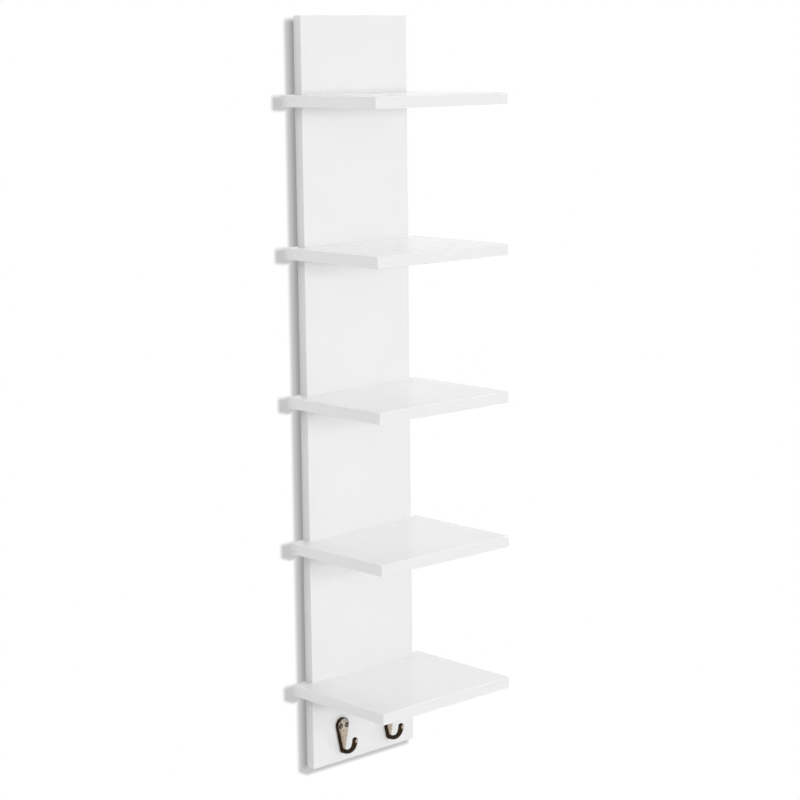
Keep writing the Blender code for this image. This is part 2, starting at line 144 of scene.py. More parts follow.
# a lighter white on the rounded edges, a painted highlight
LACQUER_EDGE_HIGHLIGHT_WHITE = (0.885, 0.885, 0.884)
LACQUER_EDGE = (0.999, 0.95)  # greatest share of the normal along an axis, on a face and on an edge
LACQUER_CLOUDS = (7.0, 3.0)
LACQUER_SHEEN = (45.0, 3.0)
LACQUER_SHEEN_SPAN = (0.25, 0.75)
LACQUER_ROUGHNESS = (0.12, 0.15)
LACQUER_EDGE_POLISH = 0.04
LACQUER_PEEL = (650.0, 2.0)
LACQUER_WAVES = (28.0, 1.0)
LACQUER_WAVE_HEIGHT = 3.0  # times the height of the peel
LACQUER_BUMP = (0.1, 0.000015)
BEECH_BROWNS = ((0.62, 0.42, 0.24), (0.74, 0.55, 0.35))
BEECH_GRAIN = (900.0, 4.0)
BEECH_GRAIN_STRETCH = (1, 1, 0.06)
BEECH_FLECK_BROWN = (0.42, 0.26, 0.14)
BEECH_FLECKS = (2200.0, 1.0)
BEECH_FLECK_STRETCH = (1, 1, 0.15)
BEECH_FLECK_SPAN = (0.62, 0.72)
BEECH_ROUGHNESS = (0.55, 0.7)
BEECH_BUMP = (0.25, 0.0002)
ZINC_GREYS = ((0.41, 0.42, 0.44), (0.55, 0.55, 0.54))
ZINC_PATCHES = (260.0, 3.0)
ZINC_ROUGHNESS = (0.28, 0.38)
ZINC_BRUSH = (4200.0, 2.0)
ZINC_BRUSH_STRETCH = (1, 0.05, 1)
ZINC_BRUSH_ROUGHNESS = 0.12
ZINC_BUMP = (0.1, 0.00005)
BRONZE_PATINAS = ((0.012, 0.009, 0.006), (0.055, 0.032, 0.016))
BRONZE_TANS = ((0.39, 0.32, 0.25), (0.57, 0.49, 0.385))
BRONZE_GREYS = ((0.56, 0.51, 0.43), (0.79, 0.74, 0.65))
BRONZE_MOTTLE = (420.0, 4.0)
BRONZE_SPECKS = (900.0, 3.0)
BRONZE_SPECK_LEVEL = (0.30, 0.42)  # of the noise, below which patina stays low down and high up
BRONZE_SPECK_SOFTNESS = 0.12
BRONZE_ROUGHNESS = (0.32, 0.46)
BRONZE_POLISH = 0.08  # by which rubbed metal is smoother
BRONZE_CAST = (1700.0, 3.0)
BRONZE_BUMP = (0.3, 0.0001)

# Sizes that follow
KEYHOLE_LENGTH = KEYHOLE_ENTRY_RADIUS + KEYHOLE_TRAVEL + KEYHOLE_SLOT_WIDTH / 2
KEYHOLE_ENTRY = KEYHOLE_ENTRY_RADIUS - KEYHOLE_LENGTH / 2
POCKET_HALF_LENGTH = KEYHOLE_LENGTH / 2 + POCKET_ROOM
HOOK_BEND_BACK = HOOK_BEND_RADIUS + HOOK_PLATE_THICKNESS
HOOK_BEND_DROP = HOOK_BEND_RADIUS + 2 * HOOK_ROD_RADIUS

# Places read from the frame
WALL_NODES = ("back_panel", *(f"shelf_{number}" for number in SHELF_NUMBERS))
PANEL_LOW, PANEL_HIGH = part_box("back_panel")
FACING_WALL = Matrix.Rotation(math.radians(-90), 4, "X")
FACING_ROOM = Matrix.Rotation(math.radians(90), 4, "X")

# Camera, fitted to the corners of the panel and shelves
IMAGE_SIZE = 800
FOCAL_PIXELS = 2134.2
SENSOR_WIDTH = 36.0  # millimetres
CAMERA_PLACE = Vector((-1.8786, -2.1121, 0.4696))
CAMERA_YAW = 0.7495
CAMERA_PITCH = -0.1678
CAMERA_ROLL = -0.0108

# Stage: a white wall with a soft painted shadow where boards meet it, and a pale floor
STAGE_REACH = 5.0
WALL_GAP = 0.0003
WALL_HOLE_INSET = 0.001
WALL_ALBEDO = 0.85
SHADOW_WIDTH = 0.0147  # to the left of what touches the wall
SHADOW_RIGHT = 0.004  # past the panel's right side
PANEL_SHADOW_FALL = 0.0047  # from its top to the shadow's top
SHELF_SHADOW_FALL = 0.001
SHADOW_DROP = 0.0045  # below what touches the wall, at the shadow's left end
SHADOW_SLANT = 0.0075  # more towards the right, the most at the panel's foot
SHADOW_SOFTNESS = 0.009
SHADOW_FOOT_SOFTNESS = 0.0065
SHADOW_LEVEL = 0.56
CONTACT_SHADOW_WIDTH = 0.012  # painted contact shadow, a darker strip close to the panel
CONTACT_SHADOW_LEVEL = 0.33
FLOOR_DROP = 0.6
FLOOR_ALBEDO = 0.75
FLOOR_GLOW = 0.4
FLOOR_FADE = (0.8, 2.8)  # from the shelf, where the floor turns white

# Light: the white surround, and soft boxes by azimuth from the front towards the right, elevation,
# distance, width, height and power
SURROUND_LIGHT = 0.525
LAMPS = {
    "key": (0, 11.0, 3.4, 0.3, 0.24, 12.5),
    "front": (-3, 4, 6.0, 2.5, 0.6, 92.0),
    "left": (-80, 32, 3.2, 2.0, 1.2, 14.5),
    "right": (87, 32, 3.2, 0.35, 1.2, 31.5),
    "back": (195, 25, 3.2, 2.5, 2.5, 35.0),
}
UNSEEN_LAMPS = ("key", "front")  # without a mirror image in the lacquer


def mix(first, last, share):
    return first + (last - first) * share


# Shapes


def arc(centre, radius, start, end, steps=ARC_STEPS):
    """Points of an arc, both ends included."""
    turns = [mix(start, end, step / steps) for step in range(steps + 1)]
    return [(centre[0] + radius * math.cos(turn), centre[1] + radius * math.sin(turn)) for turn in turns]


def stadium(half_length, half_width):
    """Outline of an upright slot with round ends."""
    end = half_length - half_width
    return arc((0, end), half_width, 0, math.pi) + arc((0, -end), half_width, math.pi, 2 * math.pi)


def keyhole_outline():
    """A round entry with a slot that rises from it."""
    half_slot = KEYHOLE_SLOT_WIDTH / 2
    meet = math.acos(half_slot / KEYHOLE_ENTRY_RADIUS)
    slot = arc((0, KEYHOLE_ENTRY + KEYHOLE_TRAVEL), half_slot, 0, math.pi)
    entry = arc((0, KEYHOLE_ENTRY), KEYHOLE_ENTRY_RADIUS, math.pi - meet, 2 * math.pi + meet)
    return slot + entry


def cross_outline(reach, half_width):
    """A slightly turned plus sign, anticlockwise from the right arm."""
    points = []
    for quarter in range(4):
        turn = Matrix.Rotation(quarter * math.pi / 2 + DRIVE_TURN, 2)
        for corner in ((reach, -half_width), (reach, half_width), (half_width, half_width)):
            points.append(tuple(turn @ Vector(corner)))
    return points


def add_prism(bm, outline, low, high, place=Matrix()):
    """Adds an outline in the XY plane, carried from one height to another."""
    floor = [bm.verts.new(place @ Vector((x, y, low))) for x, y in outline]
    roof = [bm.verts.new(place @ Vector((x, y, high))) for x, y in outline]
    bm.faces.new(reversed(floor))
    bm.faces.new(roof)
    for index in range(len(outline)):
        bm.faces.new((floor[index - 1], floor[index], roof[index], roof[index - 1]))


def add_skin(bm, rings):
    """Joins rings of points in order and closes both ends. A ring of a single point gives triangles."""
    sides = max(len(ring) for ring in rings)
    for upper, lower in zip(rings, rings[1:]):
        for side in range(sides):
            following = (side + 1) % sides
            corners = (
                upper[side % len(upper)],
                lower[side % len(lower)],
                lower[following % len(lower)],
                upper[following % len(upper)],
            )
            bm.faces.new(dict.fromkeys(corners))
    for ring in (rings[0], rings[-1]):
        if len(ring) > 2:
            bm.faces.new(ring)


def add_turned(bm, profile, sides, place=Matrix(), ripple=None):
    """Adds a solid turned about Z from a profile of radius and height, top down.

    The ripple, if any, gives a change of radius for a radius, a height and a turn.
    """
    rings = []
    for radius, height in profile:
        ring = []
        for side in range(sides if radius > 0 else 1):
            turn = 2 * math.pi * side / sides
            here = radius + (ripple(radius, height, turn) if ripple else 0)
            point = Vector((here * math.cos(turn), here * math.sin(turn), height))
            ring.append(bm.verts.new(place @ point))
        rings.append(ring)
    add_skin(bm, rings)


def round_edges(bm, radius, steps, edges):
    bmesh.ops.bevel(
        bm,
        geom=edges,
        offset=radius,
        segments=steps,
        profile=ROUNDING_PROFILE,
        affect="EDGES",
        clamp_overlap=True,
    )


def new_object(name, bm, place=Matrix()):
    bmesh.ops.recalc_face_normals(bm, faces=bm.faces[:])
    mesh = bpy.data.meshes.new(name)
    bm.to_mesh(mesh)
    bm.free()
    obj = bpy.data.objects.new(name, mesh)
    bpy.context.scene.collection.objects.link(obj)
    obj.matrix_world = place
    return obj


def cut(obj, *solids):
    """Takes solids away from an object, one after another. Each is a mesh in the making, in world space."""
    bpy.context.view_layer.update()
    for number, bm in enumerate(solids):
        cutter = new_object(f"{obj.name}_cutter_{number}", bm)
        modifier = obj.modifiers.new("cut", "BOOLEAN")
        modifier.operation = "DIFFERENCE"
        modifier.solver = "EXACT"
        modifier.object = cutter
        bpy.context.view_layer.update()
        evaluated = obj.evaluated_get(bpy.context.evaluated_depsgraph_get())
        whole = obj.data
        obj.data = bpy.data.meshes.new_from_object(evaluated)
        obj.data.name = whole.name
        obj.modifiers.clear()
        bpy.data.objects.remove(cutter)
        bpy.data.meshes.remove(whole)


def dress(obj, material, slot, *nodes):
    """Shades a piece, gives it its finish and lets it stand for its solids."""
    obj.data.materials.clear()
    obj.data.materials.append(material)
    obj.data.shade_smooth()
    obj.data.set_sharp_from_angle(angle=SMOOTH_ANGLE)
    even = obj.modifiers.new("even_normals", "WEIGHTED_NORMAL")
    even.keep_sharp = True
    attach(obj, "root")
    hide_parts(*nodes)


# Finishes


def add_node(tree, kind, values=None, **settings):
    """Adds a node. A value is a plain one, or the output of another node, which is then linked."""
    node = tree.nodes.new(kind)
    for name, setting in settings.items():
        setattr(node, name, setting)
    for name, value in (values or {}).items():
        if isinstance(value, bpy.types.NodeSocket):
            tree.links.new(value, node.inputs[name])
        else:
            node.inputs[name].default_value = value
    return node


def new_material(name):
    material = bpy.data.materials.new(name)
    material.use_nodes = True
    tree = material.node_tree
    return material, tree, tree.nodes["Principled BSDF"]


def place_in_object(tree, stretch=(1, 1, 1)):
    """Coordinates in metres in the object's own space, squeezed or stretched along its axes."""
    place = add_node(tree, "ShaderNodeTexCoord").outputs["Object"]
    return add_node(tree, "ShaderNodeMapping", {"Vector": place, "Scale": stretch}).outputs["Vector"]


def noise(tree, place, scale, detail):
    """Soft random values about 0.5. The scale is in patches to the metre."""
    values = {"Vector": place, "Scale": scale, "Detail": detail}
    return add_node(tree, "ShaderNodeTexNoise", values).outputs["Fac"]


def span(tree, value, start, end, low=0.0, high=1.0, change="SMOOTHSTEP"):
    """Carries a value from one span to another, with soft ends unless the change is linear."""
    values = {"Value": value, "From Min": start, "From Max": end, "To Min": low, "To Max": high}
    return add_node(tree, "ShaderNodeMapRange", values, interpolation_type=change).outputs["Result"]


def maths(tree, operation, first, second=0.0):
    return add_node(tree, "ShaderNodeMath", {0: first, 1: second}, operation=operation).outputs["Value"]


def reach_of(tree, first, second):
    """Length of a step with two parts."""
    step = add_node(tree, "ShaderNodeCombineXYZ", {"X": first, "Y": second}).outputs["Vector"]
    return add_node(tree, "ShaderNodeVectorMath", {0: step}, operation="LENGTH").outputs["Value"]


def blend_colours(tree, share, first, second):
    node = add_node(tree, "ShaderNodeMix", {"Factor": share}, data_type="RGBA")
    for name, colour in (("A", first), ("B", second)):
        socket = next(s for s in node.inputs if s.name == name and s.type == "RGBA")
        if isinstance(colour, bpy.types.NodeSocket):
            tree.links.new(colour, socket)
        else:
            socket.default_value = (*colour, 1.0)
    return next(s for s in node.outputs if s.type == "RGBA")


def bump(tree, shader, height, strength, distance):
    values = {"Height": height, "Strength": strength, "Distance": distance}
    tree.links.new(add_node(tree, "ShaderNodeBump", values).outputs["Normal"], shader.inputs["Normal"])


def white_lacquer():
    """Sprayed half-gloss lacquer: nearly even white, with a fine orange peel, and smoother edges in a
    lighter white that is a painted highlight.
    """
    material, tree, shader = new_material("white_lacquer")
    place = place_in_object(tree)
    clouds = span(tree, noise(tree, place, *LACQUER_CLOUDS), *NOISE_SPAN)
    peel = noise(tree, place, *LACQUER_PEEL)
    waves = noise(tree, place, *LACQUER_WAVES)
    normal = add_node(tree, "ShaderNodeNewGeometry").outputs["Normal"]
    facing = add_node(tree, "ShaderNodeSeparateXYZ", {"Vector": normal})
    flat = 0.0
    for axis in "XYZ":
        flat = maths(tree, "MAXIMUM", flat, maths(tree, "ABSOLUTE", facing.outputs[axis]))
    edge = span(tree, flat, *LACQUER_EDGE)
    colour = blend_colours(tree, clouds, *LACQUER_WHITES)
    # Rounded edges get a lighter white: a painted highlight
    colour = blend_colours(tree, edge, colour, LACQUER_EDGE_HIGHLIGHT_WHITE)
    tree.links.new(colour, shader.inputs["Base Color"])
    sheen = span(tree, noise(tree, place, *LACQUER_SHEEN), *LACQUER_SHEEN_SPAN, *LACQUER_ROUGHNESS)
    rough = maths(tree, "SUBTRACT", sheen, maths(tree, "MULTIPLY", edge, LACQUER_EDGE_POLISH))
    tree.links.new(rough, shader.inputs["Roughness"])
    height = maths(tree, "ADD", maths(tree, "MULTIPLY", waves, LACQUER_WAVE_HEIGHT), peel)
    bump(tree, shader, height, *LACQUER_BUMP)
    return material


def beech():
    """Turned beech: pale, with grain along the pin and short dark flecks."""
    material, tree, shader = new_material("beech_dowel")
    along_grain = place_in_object(tree, BEECH_GRAIN_STRETCH)
    along_flecks = place_in_object(tree, BEECH_FLECK_STRETCH)
    grain = span(tree, noise(tree, along_grain, *BEECH_GRAIN), *NOISE_SPAN)
    flecks = span(tree, noise(tree, along_flecks, *BEECH_FLECKS), *BEECH_FLECK_SPAN)
    colour = blend_colours(tree, grain, *BEECH_BROWNS)
    colour = blend_colours(tree, flecks, colour, BEECH_FLECK_BROWN)
    tree.links.new(colour, shader.inputs["Base Color"])
    tree.links.new(span(tree, grain, 0.0, 1.0, *BEECH_ROUGHNESS), shader.inputs["Roughness"])
    bump(tree, shader, grain, *BEECH_BUMP)
    return material


def zinc_steel():
    """Zinc-plated steel: cool grey, brushed by its tumbling, with duller patches."""
    material, tree, shader = new_material("zinc_steel")
    patches = span(tree, noise(tree, place_in_object(tree), *ZINC_PATCHES), *NOISE_SPAN)
    brush = noise(tree, place_in_object(tree, ZINC_BRUSH_STRETCH), *ZINC_BRUSH)
    tree.links.new(blend_colours(tree, patches, *ZINC_GREYS), shader.inputs["Base Color"])
    shader.inputs["Metallic"].default_value = 1.0
    rough = span(tree, patches, 0.0, 1.0, *ZINC_ROUGHNESS)
    rough = maths(tree, "ADD", rough, maths(tree, "MULTIPLY", brush, ZINC_BRUSH_ROUGHNESS))
    tree.links.new(rough, shader.inputs["Roughness"])
    bump(tree, shader, brush, *ZINC_BUMP)
    return material


def antique_bronze(name, wear_and_light):
    """Cast metal with a dark brown patina, taken back to pale bronze where the wear_and_light mask says,
    which holds wear, painted highlights and painted shade.

    Specks of patina stay in the rubbed metal, most of them high up, where it is also greyer.
    """
    material, tree, shader = new_material(name)
    place = place_in_object(tree)
    mottle = span(tree, noise(tree, place, *BRONZE_MOTTLE), *NOISE_SPAN)
    specks = noise(tree, place, *BRONZE_SPECKS)
    cast = noise(tree, place, *BRONZE_CAST)
    rubbed_and_lit, greyer_and_lit = wear_and_light(tree, add_node(tree, "ShaderNodeSeparateXYZ", {"Vector": place}).outputs)
    dark = blend_colours(tree, mottle, *BRONZE_PATINAS)
    tan = blend_colours(tree, mottle, *BRONZE_TANS)
    grey = blend_colours(tree, mottle, *BRONZE_GREYS)
    # Paler grey high up on the plate, and at the painted highlights of a tip and a screw's middle
    pale = blend_colours(tree, greyer_and_lit, tan, grey)
    least = span(tree, greyer_and_lit, 0.0, 1.0, *BRONZE_SPECK_LEVEL)
    cleared = span(tree, maths(tree, "SUBTRACT", specks, least), 0.0, BRONZE_SPECK_SOFTNESS)
    bare_and_lit = maths(tree, "MULTIPLY", rubbed_and_lit, cleared)
    tree.links.new(blend_colours(tree, bare_and_lit, dark, pale), shader.inputs["Base Color"])
    shader.inputs["Metallic"].default_value = 1.0
    rough = span(tree, mottle, 0.0, 1.0, *BRONZE_ROUGHNESS)
    rough = maths(tree, "SUBTRACT", rough, maths(tree, "MULTIPLY", bare_and_lit, BRONZE_POLISH))
    tree.links.new(rough, shader.inputs["Roughness"])
    bump(tree, shader, cast, *BRONZE_BUMP)
    return material


def hook_wear_and_light(tree, here):
    """Rubbed on the plate's face, short of its rim and of its screws, round which patina and painted shade
    stay, and on the tip of the prong, which also has a painted glint.
    """
    _, plate_radius, plate_centre = hook_facts("left")
    low, high = (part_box(f"hook_left_screw_{side}") for side in SIDES)
    screw_offset = (high[0].x - low[0].x) / 2
    screw_radius = (low[1].x - low[0].x) / 2
    normal = add_node(tree, "ShaderNodeNewGeometry").outputs["Normal"]
    towards = add_node(tree, "ShaderNodeSeparateXYZ", {"Vector": normal}).outputs["Y"]
    facing_room = span(tree, towards, *HOOK_FACING)
    across = maths(tree, "ABSOLUTE", here["X"])
    above = maths(tree, "SUBTRACT", here["Z"], plate_centre)
    face_root = HOOK_ROOT_HALF_WIDTH * (1 - HOOK_ROOT_FLARE)
    face_radius = plate_radius * (1 - HOOK_PLATE_FLARE)
    half_width = span(tree, here["Z"], HOOK_BEND_DROP, plate_centre, face_root, face_radius, "LINEAR")
    inset = maths(tree, "SUBTRACT", half_width, reach_of(tree, across, maths(tree, "MAXIMUM", above, 0.0)))
    off_rim = span(tree, inset, *HOOK_DARK_RIM)
    # Patina and painted shade stay round each screw
    from_screw = reach_of(tree, maths(tree, "SUBTRACT", across, screw_offset), above)
    off_screws = span(tree, from_screw, screw_radius, screw_radius + HOOK_PATINA_AND_SHADE_RING)
    plate_front = -SEAT_GAP - HOOK_PLATE_THICKNESS
    on_plate = span(tree, here["Y"], *(plate_front - depth for depth in HOOK_FACE_DEPTH))
    for limit in (off_rim, off_screws, facing_room):
        on_plate = maths(tree, "MULTIPLY", on_plate, limit)
    tip = HOOK_ROD_RADIUS + HOOK_SWEEP_RADIUS
    # The tip is rubbed and carries a painted glint
    from_tip = reach_of(tree, across, maths(tree, "SUBTRACT", here["Z"], tip))
    tip_rub_and_glint = maths(tree, "MULTIPLY", facing_room, span(tree, from_tip, *HOOK_TIP_RUB_AND_GLINT))
    prong = span(tree, here["Y"], plate_front - HOOK_SWEEP_RADIUS / 2, plate_front - HOOK_SWEEP_RADIUS)
    tip_rub_and_glint = maths(tree, "MULTIPLY", tip_rub_and_glint, prong)
    greyer_and_lit = maths(tree, "MAXIMUM", tip_rub_and_glint, span(tree, above, -plate_radius, plate_radius / 2))
    return maths(tree, "MAXIMUM", on_plate, tip_rub_and_glint), greyer_and_lit


def screw_wear_and_light(tree, here):
    """Rubbed at the middle of the domed head, with a painted highlight there. Its rim stays dark, with
    patina and painted shade.
    """
    _, _, head = screw_facts("hook_left_screw_left", False, HOOK_SCREW_DOME)
    rubbed_and_lit = span(tree, reach_of(tree, here["X"], here["Y"]), *(share * head for share in SCREW_RUB_AND_HIGHLIGHT))
    return rubbed_and_lit, rubbed_and_lit


# Boards


def screw_facts(node, facing_wall, dome=0.0):
    """Where a screw sits, its length below the rim and the radius of its head, from its solid."""
    low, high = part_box(node)
    middle = (low + high) / 2
    rim = high.y if facing_wall else low.y + dome
    place = Matrix.Translation((middle.x, rim, middle.z)) @ (FACING_WALL if facing_wall else FACING_ROOM)
    return place, high.y - low.y - dome, (high.x - low.x) / 2


def add_screw_hole(bm, place, length, head, past_rim=0.0):
    """Adds a countersunk hole, whose cone may run on past the head's rim."""
    shank = SHANK_SHARE * head
    wide = head + SEAT_GAP + past_rim
    narrow = shank + SEAT_GAP
    end = -length - HOLE_END_ROOM
    profile = [
        (0, OVERCUT),
        (wide, OVERCUT),
        (wide, past_rim),
        (narrow, shank - head),
        (narrow, end),
        (0, end),
    ]
    add_turned(bm, profile, SCREW_SIDES, place)


def add_dowel_hole(bm, node):
    low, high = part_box(node)
    middle = (low + high) / 2
    radius = (high.x - low.x) / 2 + SEAT_GAP
    place = Matrix.Translation((middle.x, high.y, middle.z)) @ FACING_WALL
    end = low.y - high.y - HOLE_END_ROOM
    profile = [(0, HOLE_END_ROOM), (radius, HOLE_END_ROOM), (radius, end), (0, end)]
    add_turned(bm, profile, SCREW_SIDES, place)


def shelf_drilling(number):
    bm = bmesh.new()
    for side in SIDES:
        add_screw_hole(bm, *screw_facts(f"shelf_{number}_screw_{side}", True))
        add_dowel_hole(bm, f"shelf_{number}_dowel_{side}")
    return bm


def hook_drilling(hook_side):
    bm = bmesh.new()
    for side in SIDES:
        add_screw_hole(bm, *screw_facts(f"hook_{hook_side}_screw_{side}", False, HOOK_SCREW_DOME))
    return bm


def hanger_drilling(hanger_side):
    bm = bmesh.new()
    for end in HANGER_ENDS:
        add_screw_hole(bm, *screw_facts(f"hanger_{hanger_side}_screw_{end}", True), SEAT_GAP)
    return bm


def hanger_facts(side):
    """Where a hanger plate sits, half its length and width, and the depth of its two faces."""
    low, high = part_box(f"hanger_plate_{side}")
    middle = (low + high) / 2
    place = Matrix.Translation((middle.x, 0, middle.z)) @ FACING_ROOM
    return place, (high.z - low.z) / 2, (high.x - low.x) / 2, -high.y, -low.y


def hanger_hollow(outline, depth, place):
    bm = bmesh.new()
    add_prism(bm, outline, -OVERCUT, depth, place)
    return bm


def make_board(name, outline, low, high, material, node, cuts, sharp_within=0.0):
    """A board with rounded edges, apart from those of a notch that lies so near to the middle."""
    bm = bmesh.new()
    add_prism(bm, outline, low, high)
    bmesh.ops.recalc_face_normals(bm, faces=bm.faces[:])
    bm.normal_update()
    rounded = []
    for edge in bm.edges:
        notched = all(abs(vert.co.x) < sharp_within for vert in edge.verts)
        if edge.is_convex and not notched:
            rounded.append(edge)
    round_edges(bm, EDGE_ROUNDING, ROUNDING_STEPS, rounded)
    board = new_object(name, bm)
    cut(board, *cuts)
    dress(board, material, "white_lacquer", node)


def make_panel(material):
    low, high = PANEL_LOW, PANEL_HIGH
    outline = [(low.x, low.y), (high.x, low.y), (high.x, high.y), (low.x, high.y)]
    cuts = [shelf_drilling(number) for number in SHELF_NUMBERS]
    for side in SIDES:
        place, half_length, half_width, _, depth = hanger_facts(side)
        recess = stadium(half_length + SEAT_GAP, half_width + SEAT_GAP)
        pocket = stadium(POCKET_HALF_LENGTH, KEYHOLE_ENTRY_RADIUS + POCKET_ROOM)
        cuts.append(hanger_hollow(recess, depth + SEAT_GAP, place))
        cuts.append(hanger_hollow(pocket, POCKET_DEPTH, place))
        cuts.append(hanger_drilling(side))
        cuts.append(hook_drilling(side))
    make_board("lacquered_back_panel", outline, low.z, high.z, material, "back_panel", cuts)


def make_shelf(number, material):
    """A board with a notch at the back, whose ears pass the panel's sides."""
    low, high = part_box(f"shelf_{number}")
    notch_left = PANEL_LOW.x - JOINT_GAP
    notch_right = PANEL_HIGH.x + JOINT_GAP
    notch_floor = PANEL_LOW.y - JOINT_GAP
    outline = [
        (low.x, high.y),
        (low.x, low.y),
        (high.x, low.y),
        (high.x, high.y),
        (notch_right, high.y),
        (notch_right, notch_floor),
        (notch_left, notch_floor),
        (notch_left, high.y),
    ]
    name = f"lacquered_shelf_{number}"
    cuts = [shelf_drilling(number)]
    make_board(name, outline, low.z, high.z, material, f"shelf_{number}", cuts, notch_right + OVERCUT)


# Fasteners


def make_screw(name, node, facing_wall, dome, material, slot):
    """A countersunk screw with a cross recess and a rolled thread."""
    place, length, head = screw_facts(node, facing_wall, dome)
    shank = SHANK_SHARE * head
    core = CORE_SHARE * shank
    pitch = THREAD_PITCH_SHARE * head
    rim = RIM_SHARE * head
    neck = shank - head - rim
    point = POINT_SHARE * head - length
    shares = [step / DOME_STEPS for step in range(DOME_STEPS + 1)] if dome else [1]
    profile = [(head * share, dome * (1 - share * share)) for share in shares]
    profile += [(head, -rim), (shank, neck)]
    rows = int((neck - point) / pitch * THREAD_ROWS)
    profile += [(shank, mix(neck - pitch, point, row / rows)) for row in range(rows + 1)]
    for row in range(1, THREAD_ROWS + 1):
        share = row / THREAD_ROWS
        profile.append((shank * (1 - share), mix(point, -length, share)))

    def thread(radius, height, turn):
        if height > neck - pitch / 2 or radius == 0:
            return 0
        phase = (height / pitch + turn / (2 * math.pi)) % 1
        return -(shank - core) * abs(2 * phase - 1) * radius / shank

    bm = bmesh.new()
    add_turned(bm, profile, SCREW_SIDES, ripple=thread)
    screw = new_object(name, bm, place)
    bm = bmesh.new()
    outline = cross_outline(DRIVE_REACH * head, DRIVE_WIDTH * head / 2)
    add_prism(bm, outline, -DRIVE_DEPTH * head, dome + OVERCUT, place)
    cut(screw, bm)
    dress(screw, material, slot, node)


def make_dowel(name, node, material):
    """A fluted beech pin with chamfered ends."""
    low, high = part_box(node)
    middle = (low + high) / 2
    radius = (high.x - low.x) / 2
    length = high.y - low.y
    place = Matrix.Translation((middle.x, high.y, middle.z)) @ FACING_WALL
    tip = radius - DOWEL_CHAMFER
    profile = [
        (0, 0),
        (tip, 0),
        (radius, -DOWEL_CHAMFER),
        (radius, DOWEL_CHAMFER - length),
        (tip, -length),
        (0, -length),
    ]

    def flutes(here, _height, turn):
        return -DOWEL_FLUTE_DEPTH * (1 + math.cos(DOWEL_FLUTES * turn)) if here == radius else 0

    bm = bmesh.new()
    add_turned(bm, profile, DOWEL_SIDES, ripple=flutes)
    dress(new_object(name, bm, place), material, "beech_dowel", node)


def make_hanger(side, material):
    """A stamped plate with a keyhole, countersunk for its two screws."""
    place, half_length, half_width, face, back = hanger_facts(side)
    bm = bmesh.new()
    add_prism(bm, stadium(half_length, half_width), face, back, place)
    rims = [edge for edge in bm.edges if edge.is_convex and edge.calc_face_angle() > SMOOTH_ANGLE]
    round_edges(bm, HANGER_ROUNDING, HANGER_ROUNDING_STEPS, rims)
    hanger = new_object(f"zinc_hanger_plate_{side}", bm)
    cut(hanger, hanger_drilling(side), hanger_hollow(keyhole_outline(), back + OVERCUT, place))
    dress(hanger, material, "zinc_steel", f"hanger_plate_{side}")


# Coat hooks


